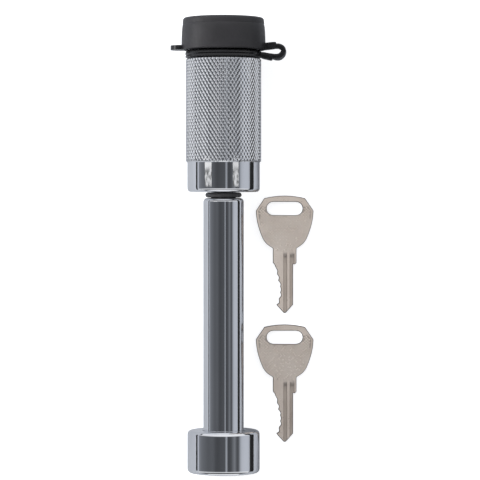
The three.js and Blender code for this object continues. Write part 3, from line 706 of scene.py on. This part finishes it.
def cap_strap():
    """The strap: a rounded flat section swept round the loop, bowing out below."""
    route = smooth_route(beyond_cap(STRAP_ROUTE), 6)
    half = STRAP_THICKNESS / 2
    corners = []
    for sx, sz, start in ((1, 1, 0), (-1, 1, 1), (-1, -1, 2), (1, -1, 3)):
        for step in range(STRAP_CORNER_STEPS + 1):
            angle = (start + step / STRAP_CORNER_STEPS) * math.pi / 2
            corners.append((
                sx * (half - STRAP_CORNER) + STRAP_CORNER * math.cos(angle),
                sz * (STRAP_HALF_WIDTH - STRAP_CORNER) + STRAP_CORNER * math.sin(angle),
            ))
    vertices, faces = [], []
    last = len(route) - 1
    for i, point in enumerate(route):
        along = (route[min(i + 1, last)] - route[max(i - 1, 0)]).normalized()
        out = Vector((-along.y, along.x))
        beyond_bend = min(max((i / last - STRAP_BEND) / (1 - STRAP_BEND), 0), 1)
        lean = STRAP_LEAN * math.sin(math.pi * beyond_bend) ** 2
        for thick, z in corners:
            below = max(-z / STRAP_HALF_WIDTH, 0)
            place = point + out * (thick + lean * below)
            vertices.append((place.x, place.y, z))

    ring = len(corners)
    for i in range(last):
        for k in range(ring):
            n = (k + 1) % ring
            faces.append([i * ring + k, i * ring + n, (i + 1) * ring + n, (i + 1) * ring + k])
    faces += [list(range(ring)), list(range(last * ring, (last + 1) * ring))]
    piece = mesh_object("rubber_cap_strap", vertices, faces, [STRAP_RUBBER])
    start, end = (TO_ROW @ Vector((CAP_RADIUS, CAP_FOOT + h * MM, 0)) for h in STRAP_ENDS)
    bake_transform(piece)
    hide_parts("cap_strap")
    return piece


# Keys


def loops(links):
    """Closed loops of cut vertices, as 2-D points, from the tip up."""
    left = set(links)
    found = []
    while left:
        path = chained(links, min(left, key=lambda v: (v.co.y, v.co.x)))
        left -= set(path)
        found.append([Vector((v.co.x, v.co.y)) for v in path])
    return sorted(found, key=lambda loop: min(p.y for p in loop))


def distance_to(points, loop):
    """Each point's distance to a closed line."""
    a = np.array(loop)
    b = np.roll(a, -1, axis=0)
    along = b - a
    to_point = points[:, None, :] - a[None]
    share = np.clip((to_point * along).sum(2) / (along**2).sum(1), 0, 1)
    return np.linalg.norm(to_point - share[..., None] * along, axis=2).min(1)


def inside(points, loop):
    """Whether each point is inside a closed line."""
    a = np.array(loop)
    b = np.roll(a, -1, axis=0)
    x, y = points[:, :1], points[:, 1:]
    crosses = (a[:, 1] > y) != (b[:, 1] > y)
    with np.errstate(divide="ignore", invalid="ignore"):
        at = a[:, 0] + (y - a[:, 1]) * (b[:, 0] - a[:, 0]) / (b[:, 1] - a[:, 1])
    return (crosses & (x < at)).sum(1) % 2 == 1


def inset(loop, distance):
    """The loop moved sideways by a distance, to its left if it runs anticlockwise."""
    count = len(loop)
    moved = []
    for i, point in enumerate(loop):
        before = (point - loop[i - 1]).normalized()
        after = (loop[(i + 1) % count] - point).normalized()
        side = Vector((-before.y - after.y, before.x + after.x)).normalized()
        reach = max(side.dot(Vector((-before.y, before.x))), 0.6)
        moved.append(point + side * distance / reach)
    return moved


def turning(loop):
    """Twice the loop's area, more than 0 if it runs anticlockwise."""
    return sum(a.x * b.y - b.x * a.y for a, b in zip(loop, loop[1:] + loop[:1]))


def groove_depth(points, grooves):
    """How deep the milled grooves are at each point."""
    fade = np.clip((GROOVE_END - points[:, 1]) / GROOVE_RAMP, 0, 1)
    run = fade * fade * (3 - 2 * fade)
    depth = np.zeros(len(points))
    for left, right in grooves:
        wall = np.minimum(points[:, 0] - left, right - points[:, 0]) / GROOVE_WALL
        depth = np.maximum(depth, np.clip(wall, 0, 1) * GROOVE_DEPTH * run)
    return depth


def scalloped(loop):
    """The outline with the key's cuts as a row of shallow scallops on its left side."""
    cut = []
    for a, b in zip(loop, loop[1:] + loop[:1]):
        cut.append(a)
        on_cuts = min(a.y, b.y) > CUTS[0] and max(a.y, b.y) < CUTS[1]
        if on_cuts and max(a.x, b.x) < CUT_SIDE:
            steps = max(int((b - a).length / CUT_STEP), 1)
            cut += [a.lerp(b, i / steps) for i in range(1, steps)]
    for point in cut:
        if point.x < CUT_SIDE and CUTS[0] < point.y < CUTS[1]:
            turn = math.pi * (point.y - CUTS[0]) / (CUTS[1] - CUTS[0]) * CUT_COUNT
            point.x += CUT_DEPTH * abs(math.sin(turn))
    return cut


def hatching(outer, hole, width):
    """The bow's hatching of flat-topped diamonds: points, which of them are raised,
    and the edges of the tops."""
    half = HATCH_PITCH / 2
    tops = ((0, 0), (HATCH_TOP, 0), (-HATCH_TOP, 0), (0, HATCH_TOP), (0, -HATCH_TOP))
    points, raised, top_edges = [], [], []
    columns = math.ceil(width / 2 / half)
    for j in range(-1, math.ceil((HATCH_END - BOW_FOOT) / half) + 1):
        for i in range(-columns, columns + 1):
            centre = np.array((i * half, BOW_FOOT + j * half))
            if (i + j) % 2:
                first = len(points)
                points += [centre + half * np.array(offset) for offset in tops]
                raised += [True] * len(tops)
                top_edges += [(first + a, first + b) for a, b in ((1, 3), (3, 2), (2, 4), (4, 1))]
            else:
                points.append(centre)
                raised.append(False)
            points.append(centre + half / 2)
            raised.append(False)
    points = np.array(points)
    room = (
        inside(points, outer)
        & ~inside(points, hole)
        & (distance_to(points, outer) > HATCH_RIM)
        & (distance_to(points, hole) > HATCH_HOLE_RIM)
        & (points[:, 1] < HATCH_END)
    )
    places = np.cumsum(room) - 1
    kept_edges = [(int(places[a]), int(places[b])) for a, b in top_edges if room[a] and room[b]]
    return points[room], np.array(raised)[room], kept_edges


def stretches(line, wanted):
    """The runs of a closed line's points that are wanted."""
    start = next(i for i, point in enumerate(line) if wanted(point) and not wanted(line[i - 1]))
    runs, before = [], False
    for point in line[start:] + line[:start]:
        if wanted(point):
            if not before:
                runs.append([])
            runs[-1].append(point)
        before = wanted(point)
    return runs


def flat_key(name, node):
    """A key: its outline from CAD, filled with triangles whose corners are then set to
    the height of the edge, the hatching or the milled groove there."""
    low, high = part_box(node)
    to_local = Matrix.Translation(-Vector(((low.x + high.x) / 2, low.y, low.z)))
    thickness = high.z - low.z
    mesh, links = section(node, to_local, (0, 0, 1), thickness / 2)
    outer, hole = (soften(loop, KEY_CORNER, closed=True, steps=3) for loop in loops(links)[:2])
    mesh.free()
    outer = scalloped(outer if turning(outer) > 0 else outer[::-1])
    hole = hole if turning(hole) < 0 else hole[::-1]

    points, edges = [], []

    def add_line(line, closed=False):
        first = len(points)
        count = len(line)
        points.extend(line)
        for i in range(count if closed else count - 1):
            edges.append((first + i, first + (i + 1) % count))

    for loop in (outer, hole):
        add_line(loop, closed=True)
        add_line(inset(loop, KEY_EDGE), closed=True)
    for run in stretches(inset(outer, HATCH_RIM - HATCH_GAP), lambda p: p.y > BOW_FOOT):
        add_line(run)
    add_line(inset(hole, HATCH_HOLE_RIM - HATCH_GAP), closed=True)
    for left, right in (*UPPER_GROOVES, *LOWER_GROOVES):
        for x in (left, left + GROOVE_WALL, right - GROOVE_WALL, right):
            add_line([Vector((x, station * MM)) for station in GROOVE_STATIONS])
    first_hatch = len(points)
    hatch, raised, top_edges = hatching(outer, hole, high.x - low.x)
    points.extend(Vector(p) for p in hatch)
    edges.extend((first_hatch + a, first_hatch + b) for a, b in top_edges)

    made = delaunay_2d_cdt(points, edges, [], 0, 1e-7)
    flat = np.array([(v.x, v.y) for v in made[0]])
    triangles = np.array(made[2])
    centres = flat[triangles].mean(1)
    triangles = triangles[inside(centres, outer) & ~inside(centres, hole)]

    sunk, worn = np.zeros(len(flat)), np.zeros(len(flat), bool)
    for i, origins in enumerate(made[3]):
        for origin in (o - first_hatch for o in origins if o >= first_hatch):
            if raised[origin]:
                worn[i] = True
            else:
                sunk[i] = HATCH_DEPTH
    near = np.minimum(distance_to(flat, outer), distance_to(flat, hole))
    rounding = 1 - np.clip(near / KEY_EDGE, 0, 1)
    inward = sunk + KEY_EDGE * (1 - np.sqrt(1 - rounding**2))
    top = thickness - inward - groove_depth(flat, UPPER_GROOVES)
    bottom = inward + groove_depth(flat, LOWER_GROOVES)

    used = np.unique(triangles)
    renumber = np.full(len(flat), -1)
    renumber[used] = np.arange(len(used))
    triangles = renumber[triangles]
    flat, top, bottom, worn = flat[used], top[used], bottom[used], worn[used]
    edging = near[used] < KEY_EDGE * 0.9
    recessed = sunk[used] > 0

    def slots(grooves):
        """Edges, sunk hatching and milled grooves take darker copies of the metal, painted shade; the
        diamonds' worn tops a lighter one, wear and a painted highlight.
        """
        milled = groove_depth(flat, grooves) > GROOVE_DEPTH / 2
        marks = ((edging, any, 1), (recessed, any, 2), (worn, all, 3), (milled, all, 4))
        return [next((slot for mark, test, slot in marks if test(mark[t])), 0) for t in triangles]

    count = len(flat)
    vertices = [(*p, z) for p, z in zip(flat, top)] + [(*p, z) for p, z in zip(flat, bottom)]
    faces = [list(t) for t in triangles] + [[a + count, c + count, b + count] for a, b, c in triangles]
    sides = {pair for a, b, c in triangles for pair in ((a, b), (b, c), (c, a))}
    rim = [(a, b) for a, b in sorted(sides) if (b, a) not in sides]
    faces += [[b, a, a + count, b + count] for a, b in rim]
    faces = [[int(v) for v in face] for face in faces]
    marked = slots(UPPER_GROOVES) + slots(LOWER_GROOVES) + [1] * len(rim)
    metals = [KEY_METAL, KEY_SHADED_EDGE_METAL, KEY_SHADED_HATCH_METAL, KEY_WORN_HIGHLIT_METAL, KEY_MILLED_SHADED_METAL]
    piece = mesh_object(name, vertices, faces, metals, to_local.inverted(), KEY_SHARP)
    piece.data.polygons.foreach_set("material_index", np.array(marked, np.int32))
    return stand_for(piece, node, node)


shank()
stop_collar()
seal_ring()
head_casing()
cap = keyway_cap()
strap_ring()
cap_strap()
keys = [flat_key("nickel_" + node, node) for node in ("key_1", "key_2")]

# Pieces inside the lock keep their CAD shapes
INSIDE = {
    "latch_carrier": ZINC,
    "cylinder_body": ZINC,
    "latch_jaw_right": STEEL,
    "latch_jaw_left": STEEL,
    "cam_disc": STEEL,
    "cam_screw": STEEL,
    "plug_clip": SPRING_STEEL,
    "retaining_pin": SPRING_STEEL,
    "plug": BRASS,
    **{name: SPRING_STEEL for name in frame["nodes"] if name.startswith("wafer_spring")},
    **{name: BRASS for name in frame["nodes"] if name.startswith("wafer_") and "spring" not in name},
}
for name, material in INSIDE.items():
    node = frame["nodes"][name]
    node.data.materials.clear()
    node.data.materials.append(material)

# ------------------------------------------------------------------------- stage

FLOOR_WIDTH = 6.0
FLOOR_GAP = 0.2 * MM
CARD_RADIUS = 14.2 * MM  # of the head's band, which mirrors the cards

# The world round the lock's axis: degrees from straight up, and brightness
ROUND_THE_AXIS = [
    (-180, 0.6), (-91, 0.62), (-86.5, 0.6), (-84, 0.27), (-79, 0.22), (-72, 0.175),
    (-57, 0.135), (-50, 0.118), (-37, 0.125), (-31, 0.115), (-25, 0.085), (-18, 0.074),
    (-9, 0.085), (3, 0.095), (6, 0.1), (7.5, 0.38), (11.5, 0.36), (13.5, 0.08), (18, 0.07),
    (25, 0.09), (31, 0.165), (36.5, 0.22), (41, 0.135), (44, 0.09), (49, 0.1), (53, 0.26),
    (57, 0.45), (63, 0.54), (75, 0.58), (88, 0.57), (92, 0.4), (180, 0.6),
]
AXIS_TINT = (0.94, 0.985, 1.08)

# Past the lock's ends: how far the direction leans along the axis, and brightness
PAST_THE_ENDS = [
    (-0.88, 0.95), (-0.82, 0.05), (-0.44, 0.05), (-0.37, 0.9), (0.3, 0.95), (1, 0.97),
]
END_TINT = (0.98, 0.99, 1.02)
END_BLEND = (0.14, 0.3)  # the lean where the one world gives way to the other


def sheet(name, corners, matrix=TO_ROW):
    """A flat sheet of the stage, and the nodes of its material."""
    return mesh_object(name, corners, [[0, 1, 2, 3]], [], matrix), Nodes(name)


def floor():
    """Pale paper: the camera sees it lit brighter than the chrome does."""
    half = FLOOR_WIDTH / 2
    piece, n = sheet(
        "floor",
        [(-half, -half, 0), (half, -half, 0), (half, half, 0), (-half, half, 0)],
        Matrix.Translation((0, 0, cad_low.z - FLOOR_GAP)),
    )
    seen = n.add("ShaderNodeLightPath").outputs["Is Camera Ray"]
    grain = n.noise(60, 4)
    piece.data.materials.append(n.set(
        Base_Color=n.mix(n.span(grain, 0, 1), (0.435, 0.45, 0.48), (0.455, 0.47, 0.5)),
        Roughness=0.9,
        Specular_IOR_Level=0.1,
        Emission_Color=(1, 1, 1, 1),
        Emission_Strength=n.span(seen, 0.02, 0.85, 0, 1),
    ))


def seen_at(radius, facing, distance):
    """Where a turned surface mirrors, at a distance, where it faces this angle."""
    turn = math.radians(facing)
    across = radius * math.sin(turn) + distance * math.sin(2 * turn)
    return across, radius * math.cos(turn) + distance * math.cos(2 * turn)


def card(name, facing, distance, length, brightness, streaks=False):
    """A studio card seen only in reflections: glowing, it paints a bright reflection; black, a dark
    one. It is placed by the part of the head's surface that mirrors it.
    """
    (near_x, near_z), (far_x, far_z) = (seen_at(CARD_RADIUS, angle, distance) for angle in facing)
    low, high = length
    piece, n = sheet(name, [
        (near_x, low, near_z), (far_x, low, far_z), (far_x, high, far_z), (near_x, high, near_z),
    ])
    strength = brightness
    if streaks:
        # Streaks of brightness across the card: painted streaky reflections in the chrome.
        lines = n.span(n.noise(260, 3, (0.3, 1.6, 0.3)), 0.15, 1, 0.42, 0.56)
        height = n.add("ShaderNodeSeparateXYZ", {0: n.place}).outputs["Y"]
        middle = (TO_ROW @ Vector((0, (low + high) / 2, 0))).y
        plain = n.span(height, 0, 1, middle - 1 * MM, middle + 1.5 * MM)
        mixed = n.add("ShaderNodeMath", {0: lines, 1: plain}, operation="MAXIMUM").outputs[0]
        strength = n.add("ShaderNodeMath", {0: mixed, 1: brightness}, operation="MULTIPLY").outputs[0]
    piece.data.materials.append(n.set(
        Base_Color=(0.02, 0.02, 0.02, 1),
        Roughness=1.0,
        Specular_IOR_Level=0.0,
        Emission_Color=(1, 1, 1, 1),
        Emission_Strength=strength,
    ))
    piece.visible_camera = False
    piece.visible_diffuse = False
    piece.visible_shadow = False


def colour_ramp(tree, value, stops, tint):
    """A ramp through stops of position and brightness."""
    ramp = tree.nodes.new("ShaderNodeValToRGB")
    elements = ramp.color_ramp.elements
    while len(elements) < len(stops):
        elements.new(0.5)
    for element, (position, brightness) in zip(elements, stops):
        element.position = position
        element.color = (*(brightness * share for share in tint), 1)
    tree.links.new(value, ramp.inputs[0])
    return ramp.outputs["Color"]


def studio():
    """Softboxes and dark gaps round the lock's axis, and bright ends past the lock's
    own ends."""
    world = bpy.data.worlds.new("studio")
    bpy.context.scene.world = world
    world.use_nodes = True
    tree = world.node_tree

    def math_node(operation, *values):
        node = tree.nodes.new("ShaderNodeMath")
        node.operation = operation
        for socket, value in zip(node.inputs, values):
            tree.links.new(value, socket)
        return node.outputs[0]

    def share_of(value, low, high, interpolation="LINEAR"):
        node = tree.nodes.new("ShaderNodeMapRange")
        node.interpolation_type = interpolation
        node.inputs["From Min"].default_value = low
        node.inputs["From Max"].default_value = high
        tree.links.new(value, node.inputs["Value"])
        return node.outputs[0]

    place = tree.nodes.new("ShaderNodeTexCoord")
    parts = tree.nodes.new("ShaderNodeSeparateXYZ")
    tree.links.new(place.outputs["Generated"], parts.inputs[0])
    x, y, z = parts.outputs
    turn = share_of(math_node("ARCTAN2", x, z), -math.pi, math.pi)
    lean = share_of(y, -1, 1)
    pick = tree.nodes.new("ShaderNodeMix")
    pick.data_type = "RGBA"
    around = [((degrees + 180) / 360, value) for degrees, value in ROUND_THE_AXIS]
    beyond = [((reach + 1) / 2, value) for reach, value in PAST_THE_ENDS]
    ends = share_of(math_node("ABSOLUTE", y), *END_BLEND, "SMOOTHSTEP")
    tree.links.new(ends, pick.inputs["Factor"])
    tree.links.new(colour_ramp(tree, turn, around, AXIS_TINT), pick.inputs[6])
    tree.links.new(colour_ramp(tree, lean, beyond, END_TINT), pick.inputs[7])
    background = tree.nodes["Background"]
    tree.links.new(pick.outputs[2], background.inputs["Color"])
    background.inputs["Strength"].default_value = 1.0


def area_light(name, location, size, power, receivers=None, colour=(1, 1, 1)):
    """A soft light aimed at the object: on some pieces only, or on all of it without
    being mirrored."""
    data = bpy.data.lights.new(name, "AREA")
    data.shape = "SQUARE"
    data.size = size
    data.energy = power
    data.color = colour
    light = bpy.data.objects.new(name, data)
    bpy.context.scene.collection.objects.link(light)
    light.location = location
    light.rotation_euler = (-Vector(location)).to_track_quat("-Z", "Y").to_euler()
    if receivers:
        group = bpy.data.collections.new(name + "_receivers")
        for piece in receivers:
            group.objects.link(piece)
        light.light_linking.receiver_collection = group
    else:
        light.visible_glossy = False


floor()
studio()
# Black cards seen only in the chrome: painted dark reflections.
card("card_low_right", (46.8, 56.5), 49 * MM, (-125 * MM, 75 * MM), 0.0)
card("card_low_left", (-49, -45.6), 120 * MM, (-125 * MM, 75 * MM), 0.0)
# Glowing cards seen only in the chrome: painted bright reflections, with streaks.
card("card_band_left", (-30.6, -19), 90 * MM, (3 * MM, 15 * MM), 0.95, streaks=True)
card("card_band_right", (15.2, 24.6), 90 * MM, (3 * MM, 15 * MM), 0.85, streaks=True)
area_light("overhead", (-0.7, 0.3, 0.75), 0.5, 12.0)
area_light("cap_light", (-0.5, 0.12, 0.12), 0.2, 0.4, [cap])
area_light("key_light", (0.05, 0.15, 0.8), 0.6, 0.7, keys, (1.0, 0.97, 0.94))

camera = bpy.data.objects.new("camera", bpy.data.cameras.new("camera"))
bpy.context.scene.collection.objects.link(camera)
camera.location = VIEW_CENTRE + Vector((0, 0, VIEW_DISTANCE))
camera.data.sensor_width = SENSOR
camera.data.lens = SENSOR * VIEW_DISTANCE / VIEW_WIDTH
camera.data.clip_start = 0.05
camera.data.clip_end = 20
bpy.context.scene.camera = camera
bpy.context.scene.view_settings.view_transform = "Standard"
